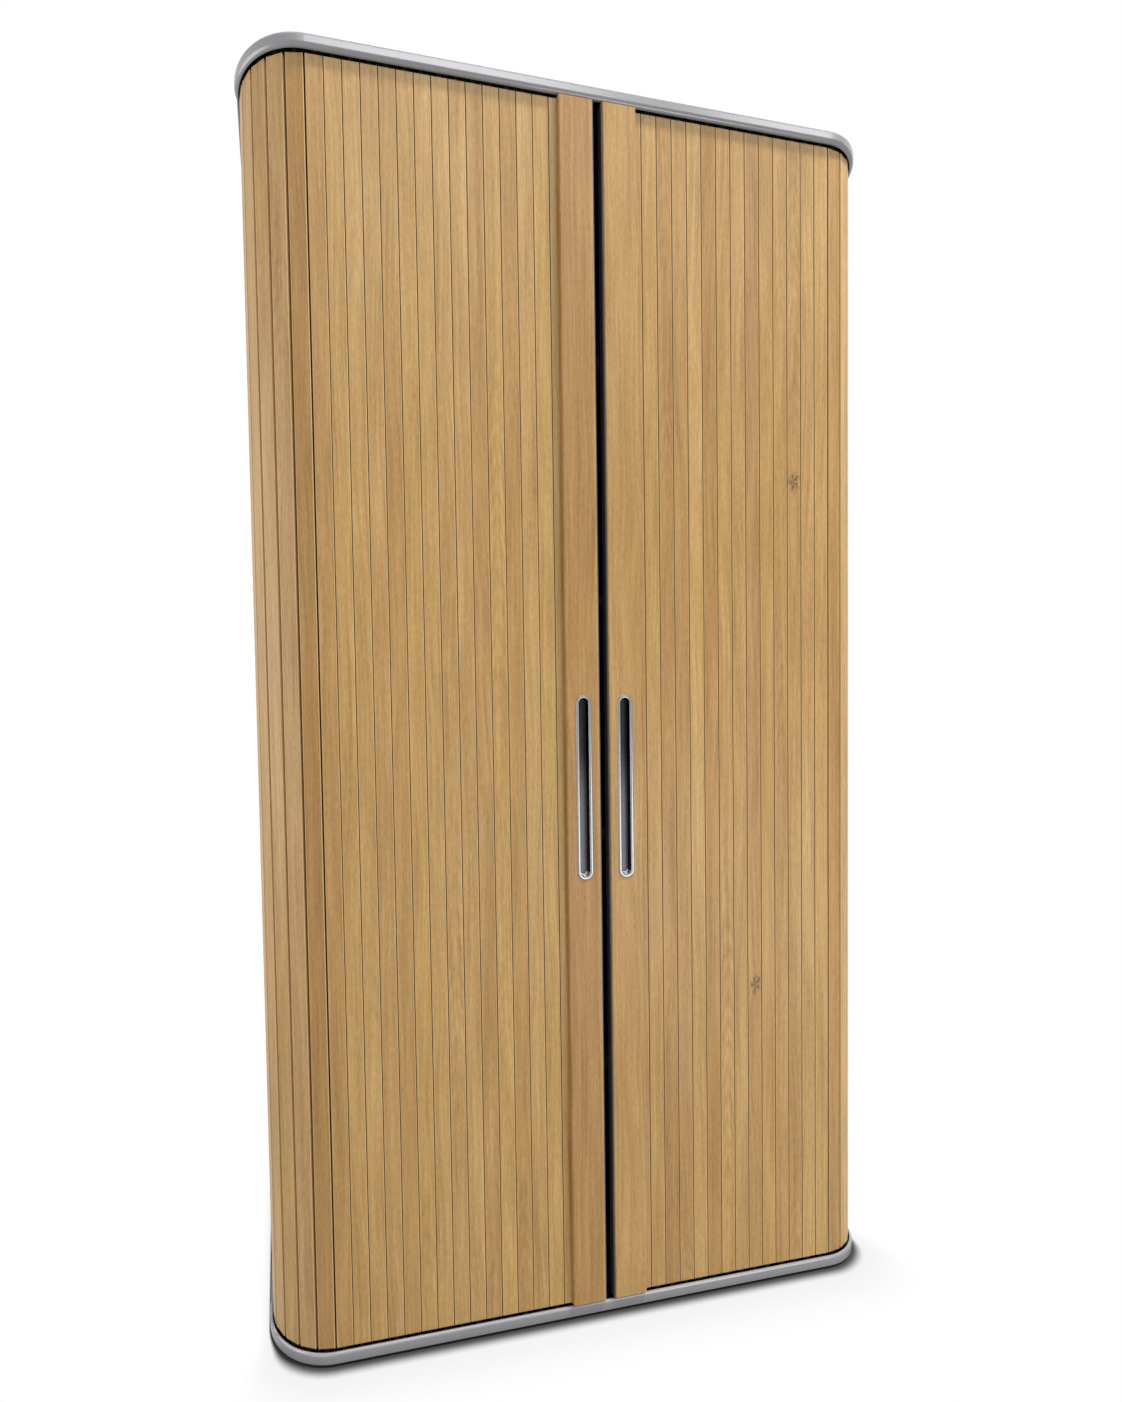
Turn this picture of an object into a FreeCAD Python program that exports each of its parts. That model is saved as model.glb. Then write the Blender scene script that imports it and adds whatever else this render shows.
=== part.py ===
import FreeCAD, Part
import os
import math
import Sketcher

from FreeCAD import Placement, Rotation, Vector

# Tambour cabinet: two slatted curtains run round the front corners of a shelved carcass.
# X runs to the right, Y to the back, Z up. The origin is on the floor under the middle.

sizes = [
    ("overall_depth", 452),  # foremost edge to the rear edge
    ("foot_height", 5),
    ("foot_diameter", 45),  # across the corners of the hexagon
    ("foot_inset", 60),  # middle of the rear feet to the rear edge
    ("base_thickness", 16),
    ("top_thickness", 20),
    ("clear_height", 1883),  # from the base board to the top board
    ("top_overhang", 7),  # top board past the slat faces
    ("base_overhang", 5),
    ("top_flat", 8),  # band between the two rounds of the top board's edge
    ("base_round", 4),
    ("top_return", 5),  # rim of the top board past the end of the corner
    ("base_return", 30),
    ("rim_taper", 30),
    ("slat_pitch", 26),
    ("slat_thickness", 10),
    ("slat_front_gap", 0.8),  # between slat faces on the flat
    ("slat_back_gap", 1.4),
    ("slat_chamfer", 0.9),
    ("slat_end_gap", 3.2),  # slat ends to the boards
    ("corner_slats", 5),  # slats round each quarter turn
    ("left_flat_slats", 15),
    ("right_flat_slats", 14),
    ("tongue_width", 6),
    ("tongue_thickness", 4),
    ("tongue_float", 0.3),  # tongue ends to the floor of the groove
    ("groove_depth", 9),
    ("groove_outward", 6.2),  # groove walls from the middle of the slats
    ("groove_inward", 7.4),
    ("stile_width", 57),
    ("stile_proud", 8),  # stile face in front of the slats
    ("stile_lap", 13),  # stile over its first slat
    ("stile_round", 2),
    ("door_gap", 13),
    ("strip_thickness", 2),
    ("strip_margin", 2),  # strip edges in from the stile faces
    ("canvas_thickness", 0.8),
    ("canvas_margin", 30),
    ("pull_length", 290),
    ("pull_width", 26),
    ("pull_height", 852),  # middle of the finger pull above the floor
    ("pull_flange", 4.5),
    ("pull_flange_thickness", 1.2),
    ("pull_wall", 1.8),
    ("pull_depth", 12),
    ("pull_fit", 0.3),
    ("side_panel_thickness", 3),
    ("side_panel_fit", 0.6),  # side panel to the slat faces
    ("side_panel_start", 6),  # past the last slat that turns
    ("inner_side_thickness", 16),
    ("curtain_room", 7),  # inner side to the backs of the slats
    ("inner_side_start", 6),
    ("back_thickness", 8),
    ("back_inset", 8),
    ("stop_room", 3),  # rear post to the tail of the open curtain
    ("post_depth", 18),  # the least depth of a rear post
    ("shelf_count", 4),
    ("shelf_thickness", 19),
    ("shelf_fit", 0.5),
    ("shelf_back_gap", 1),
    ("pin_diameter", 5),
    ("pin_length", 16),
    ("pin_fit", 0.1),
    ("pin_front", 40),  # pin rows from the ends of the inner side
    ("pin_rear", 60),
    ("housing_depth", 4),  # inner sides let into the boards
    ("housing_fit", 0.1),
]

doc = FreeCAD.newDocument("TambourCabinet")
sheet = doc.addObject("Spreadsheet::Sheet", "Sizes")
for row, (alias, amount) in enumerate(sizes, 1):
    sheet.set(f"A{row}", alias)
    sheet.set(f"B{row}", str(amount))
    sheet.setAlias(f"B{row}", alias)
doc.recompute()

# Places that several pieces share, as expressions on the sheet.
turnStep = "(90 / Sizes.corner_slats)"
hingeRadius = f"(Sizes.slat_pitch / 2 / sin({turnStep} / 2))"
cornerBack = f"({hingeRadius} * cos({turnStep} / 2))"
flatSlats = "(Sizes.left_flat_slats + Sizes.right_flat_slats)"
stilesWidth = "(2 * (Sizes.stile_width - Sizes.stile_lap) + Sizes.door_gap)"
cornerX = f"(({flatSlats} * Sizes.slat_pitch + {stilesWidth}) / 2)"
frontReach = "max(Sizes.top_overhang; Sizes.stile_proud + Sizes.pull_flange_thickness)"
slatFaceY = f"({frontReach} - Sizes.overall_depth / 2)"
slatBackY = f"({slatFaceY} + Sizes.slat_thickness)"
cornerY = f"({slatBackY} + {hingeRadius})"
slatFaceRadius = f"({hingeRadius} + Sizes.slat_thickness)"
slatMiddleRadius = f"({hingeRadius} + Sizes.slat_thickness / 2)"
rearY = "(Sizes.overall_depth / 2)"
backPanelY = f"({rearY} - Sizes.back_inset - Sizes.back_thickness)"
floorZ = "(Sizes.foot_height + Sizes.base_thickness)"
topZ = f"({floorZ} + Sizes.clear_height)"
slatZ = f"({floorZ} + Sizes.slat_end_gap)"
slatLength = "(Sizes.clear_height - 2 * Sizes.slat_end_gap)"
tongueLength = "(Sizes.groove_depth + Sizes.slat_end_gap - Sizes.tongue_float)"
sideOuterX = f"({cornerX} + {hingeRadius} - Sizes.curtain_room)"
sideInnerX = f"({sideOuterX} - Sizes.inner_side_thickness)"
innerSideY = f"({cornerY} + Sizes.inner_side_start)"
panelX = f"({cornerX} + {slatFaceRadius} + Sizes.side_panel_fit)"
panelY = f"({cornerY} + Sizes.corner_slats * Sizes.slat_pitch + Sizes.side_panel_start)"
sideRoom = f"({backPanelY} - Sizes.post_depth - Sizes.stop_room - {cornerY})"
sideSlats = f"(floor({sideRoom} / Sizes.slat_pitch) - Sizes.corner_slats)"
tailY = f"({cornerY} + ({sideSlats} + Sizes.corner_slats) * Sizes.slat_pitch)"
postY = f"({tailY} + Sizes.stop_room)"
grooveEndY = f"({tailY} - Sizes.slat_pitch / 2 + Sizes.tongue_width)"


def number(expression):
    result = sheet.evalExpression(expression)
    return float(getattr(result, "Value", result))


def place(item, x="0", y="0", z="0", turn="0"):
    item.Placement = Placement(Vector(0, 0, 0), Rotation(Vector(0, 0, 1), 0))
    item.setExpression(".Placement.Base.x", x)
    item.setExpression(".Placement.Base.y", y)
    item.setExpression(".Placement.Base.z", z)
    item.setExpression(".Placement.Rotation.Angle", f"{turn} * 1 deg")


def newBody(label):
    body = doc.addObject("PartDesign::Body", label)
    body.Label = label
    return body


def newSketch(body, role="XY_Plane", lift=None):
    sketch = body.newObject("Sketcher::SketchObject", f"{body.Name}_sketch")
    plane = next(item for item in body.Origin.OriginFeatures if item.Role == role)
    sketch.AttachmentSupport = (plane, [""])
    sketch.MapMode = "FlatFace"
    if lift:
        sketch.setExpression(".AttachmentOffset.Base.z", lift)
    return sketch


def drive(sketch, constraint, expression):
    index = sketch.addConstraint(constraint)
    sketch.setExpression(f"Constraints[{index}]", expression)


def lock(sketch, geometry, point, x, y):
    spot = (-1, 1, geometry, point)
    drive(sketch, Sketcher.Constraint("DistanceX", *spot, number(x)), x)
    drive(sketch, Sketcher.Constraint("DistanceY", *spot, number(y)), y)


def meet(sketch, *ends):
    sketch.addConstraint(Sketcher.Constraint("Coincident", *ends))


def addLine(sketch, start, end):
    return sketch.addGeometry(Part.LineSegment(Vector(*start, 0), Vector(*end, 0)))


def addArc(sketch, centre, radius, low, high):
    circle = Part.Circle(Vector(*centre, 0), Vector(0, 0, 1), radius)
    return sketch.addGeometry(Part.ArcOfCircle(circle, math.radians(low), math.radians(high)))


def polygon(sketch, corners):
    spots = [(number(x), number(y)) for x, y in corners]
    lines = [addLine(sketch, spot, spots[(i + 1) % len(spots)]) for i, spot in enumerate(spots)]
    for i, line in enumerate(lines):
        meet(sketch, line, 2, lines[(i + 1) % len(lines)], 1)
        lock(sketch, line, 1, *corners[i])


def rounded(sketch, radius, rear):
    """Runs up one side, round both front corners and back, with open ends at the rear."""
    reach, x, y, end = number(radius), number(cornerX), number(cornerY), number(rear)
    leftLine = addLine(sketch, (-x - reach, end), (-x - reach, y))
    leftArc = addArc(sketch, (-x, y), reach, 180, 270)
    frontLine = addLine(sketch, (-x, y - reach), (x, y - reach))
    rightArc = addArc(sketch, (x, y), reach, 270, 360)
    rightLine = addLine(sketch, (x + reach, y), (x + reach, end))
    meet(sketch, leftLine, 2, leftArc, 1)
    meet(sketch, leftArc, 2, frontLine, 1)
    meet(sketch, frontLine, 2, rightArc, 1)
    meet(sketch, rightArc, 2, rightLine, 1)
    lock(sketch, leftArc, 3, f"-{cornerX}", cornerY)
    lock(sketch, rightArc, 3, cornerX, cornerY)
    for arc, across, along in ((leftArc, 1, 2), (rightArc, 2, 1)):
        drive(sketch, Sketcher.Constraint("Radius", arc, reach), radius)
        sketch.addConstraint(Sketcher.Constraint("Horizontal", arc, across, arc, 3))
        sketch.addConstraint(Sketcher.Constraint("Vertical", arc, along, arc, 3))
    for line, point in ((leftLine, 1), (rightLine, 2)):
        sketch.addConstraint(Sketcher.Constraint("Vertical", line))
        drive(sketch, Sketcher.Constraint("DistanceY", -1, 1, line, point, end), rear)
    return (leftLine, 1), (rightLine, 2)


def joinEnds(sketch, first, second):
    points = [sketch.getPoint(*end) for end in (first, second)]
    line = addLine(sketch, *[(point.x, point.y) for point in points])
    meet(sketch, line, 1, *first)
    meet(sketch, line, 2, *second)


def stadium(sketch, width, length):
    half = number(width) / 2
    reach = number(length) / 2 - half
    high = addArc(sketch, (0, reach), half, 0, 180)
    low = addArc(sketch, (0, -reach), half, 180, 360)
    sides = [addLine(sketch, (-half, reach), (-half, -reach)), addLine(sketch, (half, -reach), (half, reach))]
    meet(sketch, high, 2, sides[0], 1)
    meet(sketch, sides[0], 2, low, 1)
    meet(sketch, low, 2, sides[1], 1)
    meet(sketch, sides[1], 2, high, 1)
    lock(sketch, high, 3, "0", f"({length} - {width}) / 2")
    lock(sketch, low, 3, "0", f"({width} - {length}) / 2")
    drive(sketch, Sketcher.Constraint("Radius", high, half), f"{width} / 2")
    sketch.addConstraint(Sketcher.Constraint("Equal", high, low))
    for arc in (high, low):
        sketch.addConstraint(Sketcher.Constraint("Horizontal", arc, 1, arc, 3))
        sketch.addConstraint(Sketcher.Constraint("Horizontal", arc, 2, arc, 3))


def extrude(body, kind, sketch, length, other=None, flip=False):
    feature = body.newObject(f"PartDesign::{kind}", f"{body.Name}_{kind.lower()}")
    feature.Profile = sketch
    feature.Reversed = flip
    if other:
        feature.SideType = "Two sides"
        feature.setExpression("Length2", other)
    feature.setExpression("Length", length)
    doc.recompute()
    return feature


def fillet(body, feature, radius, wanted):
    edges = [f"Edge{i}" for i, edge in enumerate(feature.Shape.Edges, 1) if wanted(edge.BoundBox)]
    rounding = body.newObject("PartDesign::Fillet", f"{body.Name}_fillet")
    rounding.Base = (feature, edges)
    rounding.setExpression("Radius", radius)
    doc.recompute()
    return rounding


def box(label, corner, extent):
    item = doc.addObject("Part::Box", label)
    item.Label = label
    for name, expression in zip(("Length", "Width", "Height"), extent):
        item.setExpression(name, expression)
    place(item, *corner)
    return item


def rod(label, diameter, length, spot, axis=(0, 0, 1)):
    item = doc.addObject("Part::Cylinder", label)
    item.setExpression("Radius", f"{diameter} / 2")
    item.setExpression("Height", length)
    item.Placement = Placement(Vector(0, 0, 0), Rotation(Vector(0, 0, 1), Vector(*axis)))
    for name, expression in zip("xyz", spot):
        item.setExpression(f".Placement.Base.{name}", expression)
    return item


def compound(label, items):
    group = doc.addObject("Part::Compound", label)
    group.Label = label
    group.Links = items
    return group


def cut(label, base, tools):
    item = doc.addObject("Part::Cut", label)
    item.Label = label
    item.Base = base
    item.Tool = compound(f"{label}_holes", tools)
    return item


def board(name, thickness, overhang):
    body = newBody(name)
    outline = newSketch(body)
    joinEnds(outline, *rounded(outline, f"({slatFaceRadius} + {overhang})", rearY))
    return body, extrude(body, "Pad", outline, thickness)


def groove(body, lift, upward):
    before = body.Shape.Volume
    sketch = newSketch(body, lift=lift)
    outer = rounded(sketch, f"({slatMiddleRadius} + Sizes.groove_outward)", grooveEndY)
    inner = rounded(sketch, f"({slatMiddleRadius} - Sizes.groove_inward)", grooveEndY)
    for first, second in zip(outer, inner):
        joinEnds(sketch, first, second)
    extrude(body, "Pocket", sketch, "Sizes.groove_depth", flip=upward)
    if body.Shape.Volume >= before:
        raise RuntimeError(f"the groove missed {body.Label}")


def housings(body, lift, upward):
    """Shallow slots in a board that the ends of the inner sides stand in."""
    before = body.Shape.Volume
    sketch = newSketch(body, lift=lift)
    near = f"({sideInnerX} - Sizes.housing_fit)"
    far = f"({sideOuterX} + Sizes.housing_fit)"
    front = f"({innerSideY} - Sizes.housing_fit)"
    rear = f"({backPanelY} + Sizes.housing_fit)"
    for side in ("-1", "1"):
        polygon(sketch, [(f"{side} * {near}", front), (f"{side} * {far}", front),
                         (f"{side} * {far}", rear), (f"{side} * {near}", rear)])
    extrude(body, "Pocket", sketch, "Sizes.housing_depth", flip=upward)
    if body.Shape.Volume >= before:
        raise RuntimeError(f"the housings missed {body.Label}")


def trimSides(body, lift, upward, thickness, overhang, rimReturn):
    """Runs the rim of a board out behind the corners, flush with the side panels."""
    sketch = newSketch(body, lift=lift)
    edge = f"{cornerX} + {slatFaceRadius} + {overhang}"
    near = f"min({panelX} + Sizes.side_panel_thickness; {edge} - 0.5)"
    far = f"({near} + {overhang})"
    end = f"({cornerY} + {rimReturn})"
    past = f"({rearY} + {overhang})"
    for side in ("-1", "1"):
        polygon(sketch, [(f"{side} * {near}", end), (f"{side} * {far}", f"({end} - Sizes.rim_taper)"),
                         (f"{side} * {far}", past), (f"{side} * {near}", past)])
    extrude(body, "Pocket", sketch, thickness, flip=upward)


def shelfZ(index):
    room = "((Sizes.clear_height - Sizes.shelf_count * Sizes.shelf_thickness) / (Sizes.shelf_count + 1))"
    return f"({floorZ} + {index} * {room} + ({index} - 1) * Sizes.shelf_thickness)"


def pinRows():
    return f"({cornerY} + Sizes.pin_front)", f"({backPanelY} - Sizes.pin_rear)"


def pinRods(label, side, index, fit):
    depth = f"(Sizes.pin_length / 2 + {fit})"
    z = f"({shelfZ(index)} - Sizes.pin_diameter / 2)"
    return [rod(label, f"(Sizes.pin_diameter + 2 * {fit})", f"(Sizes.pin_length + {fit})",
                (f"{side} * ({sideInnerX} + {depth})", y, z), (-int(side), 0, 0)) for y in pinRows()]


def allPinRods(label, side, fit):
    shelves = range(1, int(number("Sizes.shelf_count")) + 1)
    return [item for index in shelves for item in pinRods(label, side, index, fit)]


def baseBoard():
    body, pad = board("base_board", "Sizes.base_thickness", "Sizes.base_overhang")
    high = number("Sizes.base_thickness")
    back = number(rearY)
    fillet(body, pad, "Sizes.base_round", lambda b: b.ZMin > high - 0.1 and b.YMin < back - 0.1)
    trimSides(body, "Sizes.base_thickness", False, "Sizes.base_thickness", "Sizes.base_overhang",
              "Sizes.base_return")
    groove(body, "Sizes.base_thickness", False)
    housings(body, "Sizes.base_thickness", False)
    place(body, z="Sizes.foot_height")
    return body


def topBoard():
    body, pad = board("top_board", "Sizes.top_thickness", "Sizes.top_overhang")
    back = number(rearY)
    fillet(body, pad, "(Sizes.top_thickness - Sizes.top_flat) / 2", lambda b: b.ZLength < 0.1 and b.YMin < back - 0.1)
    trimSides(body, None, True, "Sizes.top_thickness", "Sizes.top_overhang", "Sizes.top_return")
    groove(body, None, True)
    housings(body, None, True)
    place(body, z=topZ)
    return body


def levellingFeet():
    rows = (cornerY, f"({rearY} - Sizes.foot_inset)")
    spots = [(f"{side} * {cornerX}", y, "0") for side in ("-1", "1") for y in rows]
    feet = [doc.addObject("Part::Prism", "foot") for _ in spots]
    for foot, spot in zip(feet, spots):
        foot.Polygon = 6
        foot.setExpression("Circumradius", "Sizes.foot_diameter / 2")
        foot.setExpression("Height", "Sizes.foot_height")
        place(foot, *spot)
    return compound("levelling_feet", feet)


def innerSide(name, side):
    left = sideInnerX if side == "1" else f"-{sideOuterX}"
    plate = box(f"{name}_plate", (left, innerSideY, f"({floorZ} - Sizes.housing_depth)"),
                ("Sizes.inner_side_thickness", f"({backPanelY} - {innerSideY})",
                 "(Sizes.clear_height + 2 * Sizes.housing_depth)"))
    return cut(name, plate, allPinRods(f"{name}_pin_hole", side, "Sizes.pin_fit"))


def rearPost(name, side):
    width = f"({panelX} - {sideOuterX})"
    left = sideOuterX if side == "1" else f"-{panelX}"
    return box(name, (left, postY, floorZ),
               (width, f"({backPanelY} - {postY})", "Sizes.clear_height"))


def sidePanel(name, side):
    left = panelX if side == "1" else f"(-{panelX} - Sizes.side_panel_thickness)"
    return box(name, (left, panelY, floorZ),
               ("Sizes.side_panel_thickness", f"({rearY} - Sizes.back_inset - {panelY})", "Sizes.clear_height"))


def backPanel():
    return box("back_panel", (f"-{panelX}", backPanelY, floorZ),
               (f"(2 * {panelX})", "Sizes.back_thickness", "Sizes.clear_height"))


def shelf(index):
    body = newBody(f"shelf_{index}")
    outline = newSketch(body)
    radius = f"({sideInnerX} - Sizes.shelf_fit - {cornerX})"
    joinEnds(outline, *rounded(outline, radius, f"({backPanelY} - Sizes.shelf_back_gap)"))
    extrude(body, "Pad", outline, "Sizes.shelf_thickness")
    place(body, z=shelfZ(index))
    return body


def shelfPins():
    return compound("shelf_pins", allPinRods("shelf_pin", "-1", "0") + allPinRods("shelf_pin", "1", "0"))


def slat(name, x, y, turn, count=None, flip=False):
    """One slat, or a row of them, with its tongues. Its back is at the origin, its face at -Y."""
    body = newBody(name)
    face = "((Sizes.slat_pitch - Sizes.slat_front_gap) / 2)"
    back = "((Sizes.slat_pitch - Sizes.slat_back_gap) / 2)"
    flat = f"({face} - Sizes.slat_chamfer)"
    shoulder = "(Sizes.slat_chamfer - Sizes.slat_thickness)"
    section = newSketch(body)
    polygon(section, [(f"-{back}", "0"), (f"-{face}", shoulder), (f"-{flat}", "-Sizes.slat_thickness"),
                      (flat, "-Sizes.slat_thickness"), (face, shoulder), (back, "0")])
    stave = extrude(body, "Pad", section, slatLength)
    tongueSection = newSketch(body)
    near = "(-(Sizes.slat_thickness - Sizes.tongue_thickness) / 2)"
    far = "(-(Sizes.slat_thickness + Sizes.tongue_thickness) / 2)"
    half = "(Sizes.tongue_width / 2)"
    polygon(tongueSection, [(f"-{half}", near), (f"-{half}", far), (half, far), (half, near)])
    tongue = extrude(body, "Pad", tongueSection, f"({slatLength} + {tongueLength})", tongueLength)
    if count:
        body.AllowCompound = True
        row = body.newObject("PartDesign::LinearPattern", f"{name}_row")
        row.Originals = [stave, tongue]
        row.Direction = (section, ["H_Axis"])
        row.Reversed = flip
        row.setExpression("Length", f"({count} - 1) * Sizes.slat_pitch")
        row.setExpression("Occurrences", count)
        body.Tip = row
        doc.recompute()
    place(body, x, y, slatZ, turn)
    return body


def stile(name, inward, x):
    body = newBody(name)
    reach = f"{inward} * (Sizes.stile_width - Sizes.strip_thickness)"
    lap = f"{inward} * Sizes.stile_lap"
    proud = "-(Sizes.slat_thickness + Sizes.stile_proud)"
    section = newSketch(body)
    polygon(section, [("0", "-Sizes.slat_thickness"), ("0", proud), (reach, proud), (reach, "0"), (lap, "0"),
                      (lap, "-Sizes.slat_thickness")])
    pad = extrude(body, "Pad", section, slatLength)
    front = number(proud)
    fillet(body, pad, "Sizes.stile_round", lambda b: b.ZLength > b.XLength + b.YLength and b.YMax < front + 0.1)
    pocket = newSketch(body, "XZ_Plane", f"-{proud}")
    stadium(pocket, "(Sizes.pull_width - 2 * Sizes.pull_flange + 2 * Sizes.pull_fit)",
            "(Sizes.pull_length - 2 * Sizes.pull_flange + 2 * Sizes.pull_fit)")
    pocket.setExpression(".AttachmentOffset.Base.x", f"{inward} * Sizes.stile_width / 2")
    pocket.setExpression(".AttachmentOffset.Base.y", f"(Sizes.pull_height - {slatZ})")
    before = body.Shape.Volume
    extrude(body, "Pocket", pocket, "(Sizes.pull_depth + Sizes.pull_fit)")
    if body.Shape.Volume >= before:
        raise RuntimeError(f"the pull's recess missed {name}")
    place(body, x, slatBackY, slatZ)
    return body


def fingerPull(name, x):
    """A stadium cup let into the stile, open at -Y, with its rim lying on the stile's face."""
    body = newBody(name)
    cupWidth = "(Sizes.pull_width - 2 * Sizes.pull_flange)"
    cupLength = "(Sizes.pull_length - 2 * Sizes.pull_flange)"
    rim = newSketch(body, "XZ_Plane")
    stadium(rim, "Sizes.pull_width", "Sizes.pull_length")
    extrude(body, "Pad", rim, "Sizes.pull_flange_thickness")
    cup = newSketch(body, "XZ_Plane")
    stadium(cup, cupWidth, cupLength)
    extrude(body, "Pad", cup, "Sizes.pull_depth", flip=True)
    hollow = newSketch(body, "XZ_Plane", "Sizes.pull_flange_thickness")
    stadium(hollow, f"({cupWidth} - 2 * Sizes.pull_wall)", f"({cupLength} - 2 * Sizes.pull_wall)")
    before = body.Shape.Volume
    extrude(body, "Pocket", hollow, "(Sizes.pull_flange_thickness + Sizes.pull_depth - Sizes.pull_wall)")
    if body.Shape.Volume >= before:
        raise RuntimeError(f"{name} has no hollow")
    place(body, x, f"({slatFaceY} - Sizes.stile_proud)", "Sizes.pull_height")
    return body


def meetingStrip(name, x):
    depth = "(Sizes.slat_thickness + Sizes.stile_proud - 2 * Sizes.strip_margin)"
    return box(name, (x, f"({slatFaceY} - Sizes.stile_proud + Sizes.strip_margin)", slatZ),
               ("Sizes.strip_thickness", depth, slatLength))


def curtain(hand, side, flatCount):
    """All the pieces of one door, from the meeting edge back to the tail."""
    inward = "1" if side == "-1" else "-1"
    turns = int(number("Sizes.corner_slats"))
    rowCount = f"({flatCount} - Sizes.corner_slats)"
    pieces = []

    def flatX(order):
        return f"{side} * ({cornerX} - ({order} - 0.5) * Sizes.slat_pitch)"

    pieces.append(slat(f"{hand}_flat_slats", flatX("(Sizes.corner_slats + 1)"), slatBackY, "0",
                       rowCount, side == "1"))
    for order in range(turns, 0, -1):
        pieces.append(slat(f"{hand}_entry_slat_{order}", flatX(str(order)), slatBackY, "0"))
    for order in range(1, turns + 1):
        angle = f"({turnStep} * ({order} - 0.5))"
        pieces.append(slat(f"{hand}_corner_slat_{order}", f"{side} * ({cornerX} + {cornerBack} * sin({angle}))",
                           f"({cornerY} - {cornerBack} * cos({angle}))", f"{side} * {angle}"))
    pieces.append(slat(f"{hand}_side_slats", f"{side} * ({cornerX} + {hingeRadius})",
                       f"({cornerY} + Sizes.slat_pitch / 2)", f"{side} * 90", sideSlats, side == "-1"))

    lapX = f"{side} * ({cornerX} - {flatCount} * Sizes.slat_pitch + Sizes.stile_lap)"
    edgeX = f"({lapX} + {inward} * (Sizes.stile_width - Sizes.strip_thickness))"
    stripX = edgeX if inward == "1" else f"({edgeX} - Sizes.strip_thickness)"
    pieces.append(stile(f"{hand}_stile", inward, lapX))
    pieces.append(fingerPull(f"{hand}_finger_pull", f"({lapX} + {inward} * Sizes.stile_width / 2)"))
    pieces.append(meetingStrip(f"{hand}_meeting_strip", stripX))

    canvasZ = f"({slatZ} + Sizes.canvas_margin)"
    canvasHeight = f"({slatLength} - 2 * Sizes.canvas_margin)"
    flatLength = f"({rowCount} * Sizes.slat_pitch - Sizes.slat_back_gap)"
    flatEnd = f"({cornerX} - Sizes.corner_slats * Sizes.slat_pitch - Sizes.slat_back_gap / 2)"
    flatLeft = f"-{flatEnd}" if side == "-1" else f"({flatEnd} - {flatLength})"
    pieces.append(box(f"{hand}_flat_canvas", (flatLeft, slatBackY, canvasZ),
                      (flatLength, "Sizes.canvas_thickness", canvasHeight)))
    backX = f"({cornerX} + {hingeRadius})"
    sideLeft = f"-{backX}" if side == "-1" else f"({backX} - Sizes.canvas_thickness)"
    sideDepth = f"({sideSlats} * Sizes.slat_pitch - Sizes.slat_back_gap)"
    pieces.append(box(f"{hand}_side_canvas", (sideLeft, f"({cornerY} + Sizes.slat_back_gap / 2)", canvasZ),
                      ("Sizes.canvas_thickness", sideDepth, canvasHeight)))
    return pieces


nodes = [levellingFeet(), baseBoard(), topBoard(), backPanel()]
for hand, side in (("left", "-1"), ("right", "1")):
    nodes.append(innerSide(f"{hand}_inner_side", side))
    nodes.append(rearPost(f"{hand}_rear_post", side))
    nodes.append(sidePanel(f"{hand}_side_panel", side))
for index in range(1, int(number("Sizes.shelf_count")) + 1):
    nodes.append(shelf(index))
nodes.append(shelfPins())
nodes += curtain("left", "-1", "Sizes.left_flat_slats")
nodes += curtain("right", "1", "Sizes.right_flat_slats")
doc.recompute()

for item in doc.Objects:
    if "Invalid" in item.State or "Error" in item.State:
        raise RuntimeError(f"{item.Label} is {item.State}")
for node in nodes:
    if node.Shape.isNull() or not node.Shape.isValid():
        raise RuntimeError(f"{node.Label} has no valid shape")

os.makedirs("parts", exist_ok=True)
for node in nodes:
    node.Shape.exportStep(f"parts/{node.Label}.step")
print(len(nodes), "pieces written")
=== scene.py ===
import math
import random

import bmesh
import bpy
from mathutils import Matrix, Vector


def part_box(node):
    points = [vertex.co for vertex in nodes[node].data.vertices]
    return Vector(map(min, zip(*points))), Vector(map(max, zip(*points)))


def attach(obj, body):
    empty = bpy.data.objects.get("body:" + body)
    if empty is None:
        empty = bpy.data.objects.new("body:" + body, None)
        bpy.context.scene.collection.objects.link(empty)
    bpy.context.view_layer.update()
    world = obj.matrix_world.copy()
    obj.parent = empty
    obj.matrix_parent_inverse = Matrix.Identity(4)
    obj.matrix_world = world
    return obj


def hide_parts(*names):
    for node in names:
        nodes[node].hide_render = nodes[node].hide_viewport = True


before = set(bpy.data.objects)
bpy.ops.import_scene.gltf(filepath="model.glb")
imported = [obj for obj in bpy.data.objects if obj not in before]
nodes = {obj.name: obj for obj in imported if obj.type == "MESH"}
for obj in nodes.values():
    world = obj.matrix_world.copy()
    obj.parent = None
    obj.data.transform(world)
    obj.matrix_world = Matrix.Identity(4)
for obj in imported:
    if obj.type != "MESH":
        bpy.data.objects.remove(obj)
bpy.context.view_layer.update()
hands = {"left": -1, "right": 1}  # with the sign of their side
dice = random.Random(26)
print("frame loaded:", len(nodes), "nodes")


def middleOf(name):
    low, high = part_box(name)
    return (low + high) / 2


# Places read from the frame, in metres
entryLow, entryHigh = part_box("right_entry_slat_1")
entryX = middleOf("right_entry_slat_1").x
pitch = entryX - middleOf("right_entry_slat_2").x
faceY, backY = entryLow.y, entryHigh.y
slatThick = backY - faceY
tongueLow, tongueHigh = entryLow.z, entryHigh.z
stileLow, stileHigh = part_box("left_stile")
staveLow, staveHigh = stileLow.z, stileHigh.z
stileFace = stileLow.y

# Slats in a corner stand on a polygon round cornerX, cornerY
cornerX = entryX + pitch / 2
turnCount = sum(name.startswith("right_corner_slat_") for name in nodes)
turnStep = math.radians(90 / turnCount)
hingeRadius = pitch / 2 / math.sin(turnStep / 2)  # to the seams at the back
cornerBack = hingeRadius * math.cos(turnStep / 2)  # to the middle of a slat's back
cornerY = backY + hingeRadius


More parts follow.
